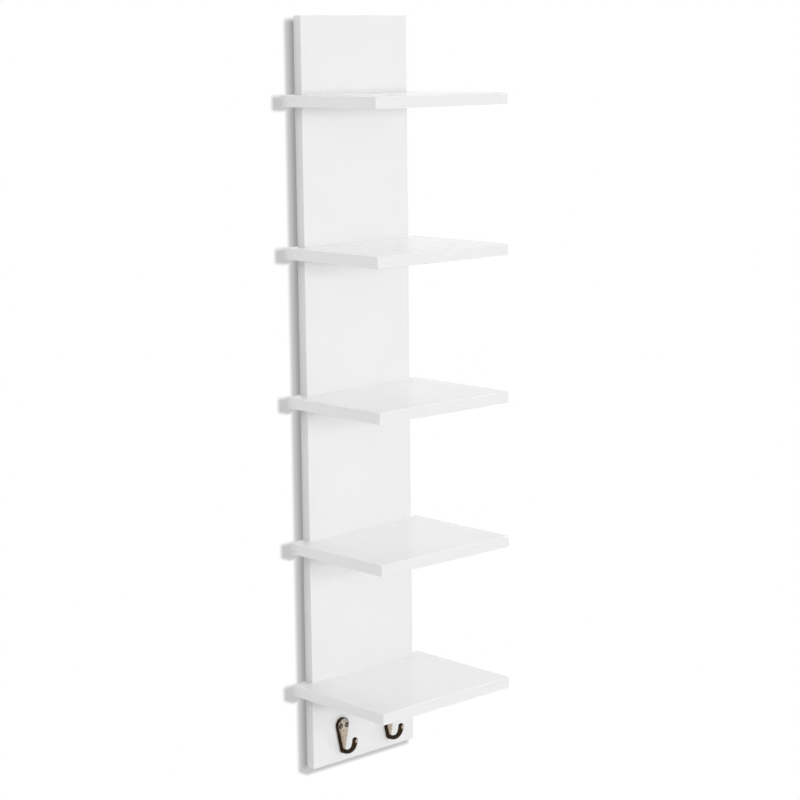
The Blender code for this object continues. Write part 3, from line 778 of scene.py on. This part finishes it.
def hook_sections(plate_radius, plate_centre):
    """Cross-sections of a hook from the top of its plate to the tip of its prong.

    Each is the distance in front of the panel, the height above the hook's lowest point, the
    heading of the metal, half its width, half its depth, how square its corners are, the share
    by which its outer side is wider than its middle, and the rise of its face.
    """
    down = -math.pi / 2
    half_plate = HOOK_PLATE_THICKNESS / 2
    plate_middle = SEAT_GAP + half_plate
    square = HOOK_PLATE_SQUARENESS
    taper = math.asin((plate_radius - HOOK_ROOT_HALF_WIDTH) / (plate_centre - HOOK_BEND_DROP))
    shares = [step / HOOK_STEPS for step in range(HOOK_STEPS + 1)]
    sections = []

    # Round top of the plate, down to where its straight sides begin
    for share in shares:
        turn = mix(HOOK_CROWN, -taper, share)
        height = plate_centre + plate_radius * math.sin(turn)
        half_width = plate_radius * math.cos(turn)
        flare = HOOK_PLATE_FLARE
        crown = HOOK_PLATE_CROWN * share
        sections.append((plate_middle, height, down, half_width, half_plate, square, flare, crown))

    # Tapering plate, whose face narrows more than its back
    start_height, start_width = height, half_width
    for share in shares[1:]:
        height = mix(start_height, HOOK_BEND_DROP, share)
        half_width = mix(start_width, HOOK_ROOT_HALF_WIDTH, share)
        flare = mix(HOOK_PLATE_FLARE, HOOK_ROOT_FLARE, share)
        crown = HOOK_PLATE_CROWN
        sections.append((plate_middle, height, down, half_width, half_plate, square, flare, crown))

    # Bend at the foot of the plate, tight inside and squarish outside
    bend_forward = SEAT_GAP + HOOK_BEND_BACK
    for share in shares[1:]:
        turn = share * math.pi / 2
        towards_back = abs(math.cos(turn) / HOOK_BEND_BACK) ** HOOK_BEND_SQUARENESS
        towards_foot = abs(math.sin(turn) / HOOK_BEND_DROP) ** HOOK_BEND_SQUARENESS
        reach = (towards_back + towards_foot) ** (-1 / HOOK_BEND_SQUARENESS)
        middle = (reach + HOOK_BEND_RADIUS) / 2
        half_depth = (reach - HOOK_BEND_RADIUS) / 2
        forward = bend_forward - middle * math.cos(turn)
        height = HOOK_BEND_DROP - middle * math.sin(turn)
        half_width = mix(HOOK_ROOT_HALF_WIDTH, HOOK_ROD_RADIUS, share)
        squareness = mix(square, HOOK_ROD_SQUARENESS, share)
        flare = mix(HOOK_ROOT_FLARE, 0, share)
        crown = mix(HOOK_PLATE_CROWN, 0, share)
        sections.append((forward, height, down + turn, half_width, half_depth, squareness, flare, crown))

    # Open sweep of the prong, slim half way and fuller at its tip
    for share in shares[1:]:
        heading = share * HOOK_SWEEP_END
        forward = bend_forward + HOOK_SWEEP_RADIUS * math.sin(heading)
        height = HOOK_ROD_RADIUS + HOOK_SWEEP_RADIUS * (1 - math.cos(heading))
        half = mix(HOOK_ROD_RADIUS, HOOK_TIP_RADIUS, share) - HOOK_ROD_WAIST * math.sin(math.pi * share)
        sections.append((forward, height, heading, half, half, HOOK_ROD_SQUARENESS, 0, 0))

    # Straight rise and round tip
    for share in shares:
        turn = HOOK_TIP_CROWN * share
        ahead = HOOK_TIP_RISE + HOOK_TIP_RADIUS * math.sin(turn)
        half = HOOK_TIP_RADIUS * math.cos(turn)
        tip_forward = forward + ahead * math.cos(HOOK_SWEEP_END)
        tip_height = height + ahead * math.sin(HOOK_SWEEP_END)
        sections.append((tip_forward, tip_height, HOOK_SWEEP_END, half, half, HOOK_ROD_SQUARENESS, 0, 0))
    return sections


def hook_facts(side):
    """Where a hook's foot stands on the panel, and the radius and height of its plate's round top."""
    low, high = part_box(f"coat_hook_{side}")
    place = Matrix.Translation(((low.x + high.x) / 2, PANEL_LOW.y, low.z))
    plate_radius = (high.x - low.x) / 2 / (1 + HOOK_PLATE_FLARE)
    return place, plate_radius, high.z - low.z - plate_radius


def make_hook(side, material):
    place, plate_radius, plate_centre = hook_facts(side)
    sections = hook_sections(plate_radius, plate_centre)
    across = Vector((1, 0, 0))
    bm = bmesh.new()
    rings = []
    for forward, height, heading, half_width, half_depth, squareness, flare, crown in sections:
        outward = Vector((0, -math.sin(heading), -math.cos(heading)))
        centre = Vector((0, -forward, height))
        ring = []
        for turn in (2 * math.pi * point / HOOK_SIDES for point in range(HOOK_SIDES)):
            bulge_x = math.copysign(abs(math.cos(turn)) ** (2 / squareness), math.cos(turn))
            bulge_y = math.copysign(abs(math.sin(turn)) ** (2 / squareness), math.sin(turn))
            half_here = half_width * (1 + flare * bulge_y)
            rise = crown * (1 - bulge_x * bulge_x) if bulge_y < 0 else 0
            depth_here = half_depth * bulge_y - rise
            ring.append(bm.verts.new(centre + across * half_here * bulge_x + outward * depth_here))
        rings.append(ring)
    add_skin(bm, rings)
    hook = new_object(f"bronze_coat_hook_{side}", bm, place)
    cut(hook, hook_drilling(side))
    dress(hook, material, "antique_bronze", f"coat_hook_{side}")


# Stage, light and camera


def new_stage(name, bm, *materials):
    """A sheet of the stage, which isn't part of the object. Its faces keep the side they were drawn on."""
    mesh = bpy.data.meshes.new(name)
    bm.to_mesh(mesh)
    bm.free()
    for material in materials:
        mesh.materials.append(material)
    sheet = bpy.data.objects.new(name, mesh)
    bpy.context.scene.collection.objects.link(sheet)


def seen(tree):
    """1 where a surface is looked at, also in metal or glass, and 0 where it only throws light back."""
    paths = add_node(tree, "ShaderNodeLightPath").outputs
    shown = maths(tree, "MAXIMUM", paths["Is Camera Ray"], paths["Is Glossy Ray"])
    return maths(tree, "MAXIMUM", shown, paths["Is Transmission Ray"])


def stage_material(name, albedo):
    """A sheet, matt for bounced light and clear from behind, and the shader mix that is looked at."""
    material, tree, _ = new_material(name)
    tree.nodes.clear()
    matt = add_node(tree, "ShaderNodeBsdfDiffuse", {"Color": (albedo, albedo, albedo, 1.0)})
    looked_at = add_node(tree, "ShaderNodeMixShader", {0: seen(tree), 1: matt.outputs["BSDF"]})
    behind = add_node(tree, "ShaderNodeNewGeometry").outputs["Backfacing"]
    clear = add_node(tree, "ShaderNodeBsdfTransparent").outputs["BSDF"]
    both = add_node(tree, "ShaderNodeMixShader", {0: behind, 1: looked_at.outputs["Shader"], 2: clear})
    add_node(tree, "ShaderNodeOutputMaterial", {"Surface": both.outputs["Shader"]})
    return material, tree, looked_at, matt


def place_in_room(tree):
    """The X, Y and Z of a point of the stage."""
    position = add_node(tree, "ShaderNodeNewGeometry").outputs["Position"]
    return add_node(tree, "ShaderNodeSeparateXYZ", {"Vector": position}).outputs


def wall_shade(tree):
    """Brightness of the wall: white, but for a narrow painted shadow left of and below all that touches it.
    """
    place = place_in_room(tree)
    across, up = place["X"], place["Z"]
    half = SHADOW_SOFTNESS / 2
    half_foot = SHADOW_FOOT_SOFTNESS / 2
    shadow = 0.0
    for node in WALL_NODES:
        low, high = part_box(node)
        left = low.x - SHADOW_WIDTH
        top = high.z - (PANEL_SHADOW_FALL if node == "back_panel" else SHELF_SHADOW_FALL)
        lowness = (PANEL_HIGH.z - low.z) / (PANEL_HIGH.z - PANEL_LOW.z)
        deepest = SHADOW_DROP + SHADOW_SLANT * lowness
        drop = span(tree, across, left, low.x, SHADOW_DROP, deepest, "LINEAR")
        past_foot = span(tree, maths(tree, "ADD", up, drop), low.z - half_foot, low.z + half_foot)
        past_left = span(tree, across, left - half, left + half)
        before_top = span(tree, up, top + half, top - half)
        here = maths(tree, "MULTIPLY", maths(tree, "MULTIPLY", past_foot, past_left), before_top)
        shadow = maths(tree, "MAXIMUM", shadow, here)
    right = PANEL_HIGH.x + SHADOW_RIGHT
    before_right = span(tree, across, right + half, right - half)
    shadow = maths(tree, "MULTIPLY", shadow, before_right)
    # Painted contact shadow, darker close to the panel's left side and above its foot
    near = span(tree, across, PANEL_LOW.x - CONTACT_SHADOW_WIDTH, PANEL_LOW.x, 0.0, SHADOW_LEVEL - CONTACT_SHADOW_LEVEL)
    contact_shadow = maths(tree, "MULTIPLY", near, span(tree, up, PANEL_LOW.z - half, PANEL_LOW.z + half))
    depth = maths(tree, "MULTIPLY", shadow, maths(tree, "ADD", contact_shadow, 1.0 - SHADOW_LEVEL))
    return maths(tree, "SUBTRACT", 1.0, depth)


def wall_material():
    """The wall's painted shade is looked at and dims the light it throws back. In a mirror it is plain
    white.
    """
    material, tree, looked_at, matt = stage_material("white_wall", WALL_ALBEDO)
    shade = wall_shade(tree)
    tree.links.new(maths(tree, "MULTIPLY", shade, WALL_ALBEDO), matt.inputs["Color"])
    looked_at_directly = add_node(tree, "ShaderNodeLightPath").outputs["Is Camera Ray"]
    mirrored = maths(tree, "SUBTRACT", 1.0, looked_at_directly)
    glow = add_node(tree, "ShaderNodeEmission", {"Strength": maths(tree, "MAXIMUM", shade, mirrored)})
    tree.links.new(glow.outputs["Emission"], looked_at.inputs[2])
    return material


def wall_rim_material():
    """Looks like the wall from the room, and lets all light through."""
    material, tree, _ = new_material("white_wall_rim")
    tree.nodes.clear()
    looked_at_directly = add_node(tree, "ShaderNodeLightPath").outputs["Is Camera Ray"]
    behind = add_node(tree, "ShaderNodeNewGeometry").outputs["Backfacing"]
    shown = maths(tree, "GREATER_THAN", looked_at_directly, behind)
    clear = add_node(tree, "ShaderNodeBsdfTransparent").outputs["BSDF"]
    glow = add_node(tree, "ShaderNodeEmission", {"Strength": wall_shade(tree)}).outputs["Emission"]
    both = add_node(tree, "ShaderNodeMixShader", {0: shown, 1: clear, 2: glow})
    add_node(tree, "ShaderNodeOutputMaterial", {"Surface": both.outputs["Shader"]})
    return material


def make_wall():
    """A white wall, open behind all that touches it, so that the back is lit as well."""
    boxes = [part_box(node) for node in WALL_NODES]
    rows = {PANEL_LOW.z - FLOOR_DROP, STAGE_REACH}
    columns = {-STAGE_REACH, STAGE_REACH}
    for inset, (low, high) in itertools.product((0, WALL_HOLE_INSET), boxes):
        rows |= {low.z + inset, high.z - inset}
        columns |= {low.x + inset, high.x - inset}
    rows, columns = sorted(rows), sorted(columns)
    bm = bmesh.new()
    points = [[bm.verts.new((x, WALL_GAP, z)) for x in columns] for z in rows]
    for row, column in itertools.product(range(len(rows) - 1), range(len(columns) - 1)):
        x = (columns[column] + columns[column + 1]) / 2
        z = (rows[row] + rows[row + 1]) / 2
        depth = max(min(x - low.x, high.x - x, z - low.z, high.z - z) for low, high in boxes)
        if depth > WALL_HOLE_INSET:
            continue
        corners = ((row, column), (row, column + 1), (row + 1, column + 1), (row + 1, column))
        face = bm.faces.new([points[i][j] for i, j in corners])
        face.material_index = int(depth > 0)
    new_stage("wall", bm, wall_material(), wall_rim_material())


def make_floor():
    """A pale floor below the shelf, which keeps its shadow and turns white further away."""
    material, tree, looked_at, matt = stage_material("pale_floor", FLOOR_ALBEDO)
    glow = add_node(tree, "ShaderNodeEmission", {"Strength": FLOOR_GLOW})
    lit = add_node(tree, "ShaderNodeAddShader", {0: matt.outputs["BSDF"], 1: glow.outputs["Emission"]})
    white = add_node(tree, "ShaderNodeEmission", {"Strength": 1.0})
    place = place_in_room(tree)
    fade = span(tree, reach_of(tree, place["X"], place["Y"]), *FLOOR_FADE)
    parts = {0: fade, 1: lit.outputs["Shader"], 2: white.outputs["Emission"]}
    shown = add_node(tree, "ShaderNodeMixShader", parts)
    tree.links.new(shown.outputs["Shader"], looked_at.inputs[2])
    height = PANEL_LOW.z - FLOOR_DROP
    reach = STAGE_REACH
    bm = bmesh.new()
    corners = ((-reach, -reach), (reach, -reach), (reach, reach), (-reach, reach))
    bm.faces.new([bm.verts.new((x, y, height)) for x, y in corners])
    new_stage("floor", bm, material)


def make_world():
    """A white surround that lights the shelf evenly and is plain white to look at."""
    world = bpy.data.worlds.new("white_surround")
    world.use_nodes = True
    tree = world.node_tree
    background = tree.nodes["Background"]
    background.inputs["Color"].default_value = (1.0, 1.0, 1.0, 1.0)
    tree.links.new(span(tree, seen(tree), 0.0, 1.0, SURROUND_LIGHT, 1.0), background.inputs["Strength"])
    bpy.context.scene.world = world


def make_lamp(name, azimuth, elevation, distance, width, height, power):
    """A soft box that looks at the middle of the shelf."""
    middle = (cad_box[0] + cad_box[1]) / 2
    turn, rise = math.radians(azimuth), math.radians(elevation)
    aim = Vector((math.sin(turn) * math.cos(rise), -math.cos(turn) * math.cos(rise), math.sin(rise)))
    data = bpy.data.lights.new(name, "AREA")
    data.shape = "RECTANGLE"
    data.size = width
    data.size_y = height
    data.energy = power
    lamp = bpy.data.objects.new(name, data)
    bpy.context.scene.collection.objects.link(lamp)
    lamp.rotation_mode = "QUATERNION"
    lamp.rotation_quaternion = aim.to_track_quat("Z", "Y")
    lamp.location = middle + aim * distance
    lamp.visible_glossy = name not in UNSEEN_LAMPS


def make_camera():
    forward = Vector(
        (
            math.sin(CAMERA_YAW) * math.cos(CAMERA_PITCH),
            math.cos(CAMERA_YAW) * math.cos(CAMERA_PITCH),
            math.sin(CAMERA_PITCH),
        )
    )
    level = Vector((math.cos(CAMERA_YAW), -math.sin(CAMERA_YAW), 0))
    upright = level.cross(forward)
    right = math.cos(CAMERA_ROLL) * level + math.sin(CAMERA_ROLL) * upright
    up = math.cos(CAMERA_ROLL) * upright - math.sin(CAMERA_ROLL) * level
    data = bpy.data.cameras.new("camera")
    data.sensor_fit = "HORIZONTAL"
    data.sensor_width = SENSOR_WIDTH
    data.lens = FOCAL_PIXELS / IMAGE_SIZE * SENSOR_WIDTH
    camera = bpy.data.objects.new("camera", data)
    bpy.context.scene.collection.objects.link(camera)
    turn = Matrix((right, up, -forward)).transposed().to_4x4()
    camera.matrix_world = Matrix.Translation(CAMERA_PLACE) @ turn
    bpy.context.scene.camera = camera


# The whole scene


def make_shelf_unit():
    lacquer = white_lacquer()
    zinc = zinc_steel()
    wood = beech()
    bronze = antique_bronze("antique_bronze", hook_wear_and_light)
    bronzed = antique_bronze("bronzed_steel", screw_wear_and_light)
    make_panel(lacquer)
    for number in SHELF_NUMBERS:
        make_shelf(number, lacquer)
        for side in SIDES:
            node = f"shelf_{number}_screw_{side}"
            make_screw(f"zinc_{node}", node, True, 0.0, zinc, "zinc_steel")
            node = f"shelf_{number}_dowel_{side}"
            make_dowel(f"beech_{node}", node, wood)
    for side in SIDES:
        make_hook(side, bronze)
        make_hanger(side, zinc)
        for other in SIDES:
            node = f"hook_{side}_screw_{other}"
            make_screw(f"bronzed_{node}", node, False, HOOK_SCREW_DOME, bronzed, "bronzed_steel")
        for end in HANGER_ENDS:
            node = f"hanger_{side}_screw_{end}"
            make_screw(f"zinc_{node}", node, True, 0.0, zinc, "zinc_steel")


make_shelf_unit()
make_wall()
make_floor()
make_world()
for lamp, setting in LAMPS.items():
    make_lamp(lamp, *setting)
make_camera()
bpy.context.scene.view_settings.view_transform = "Standard"
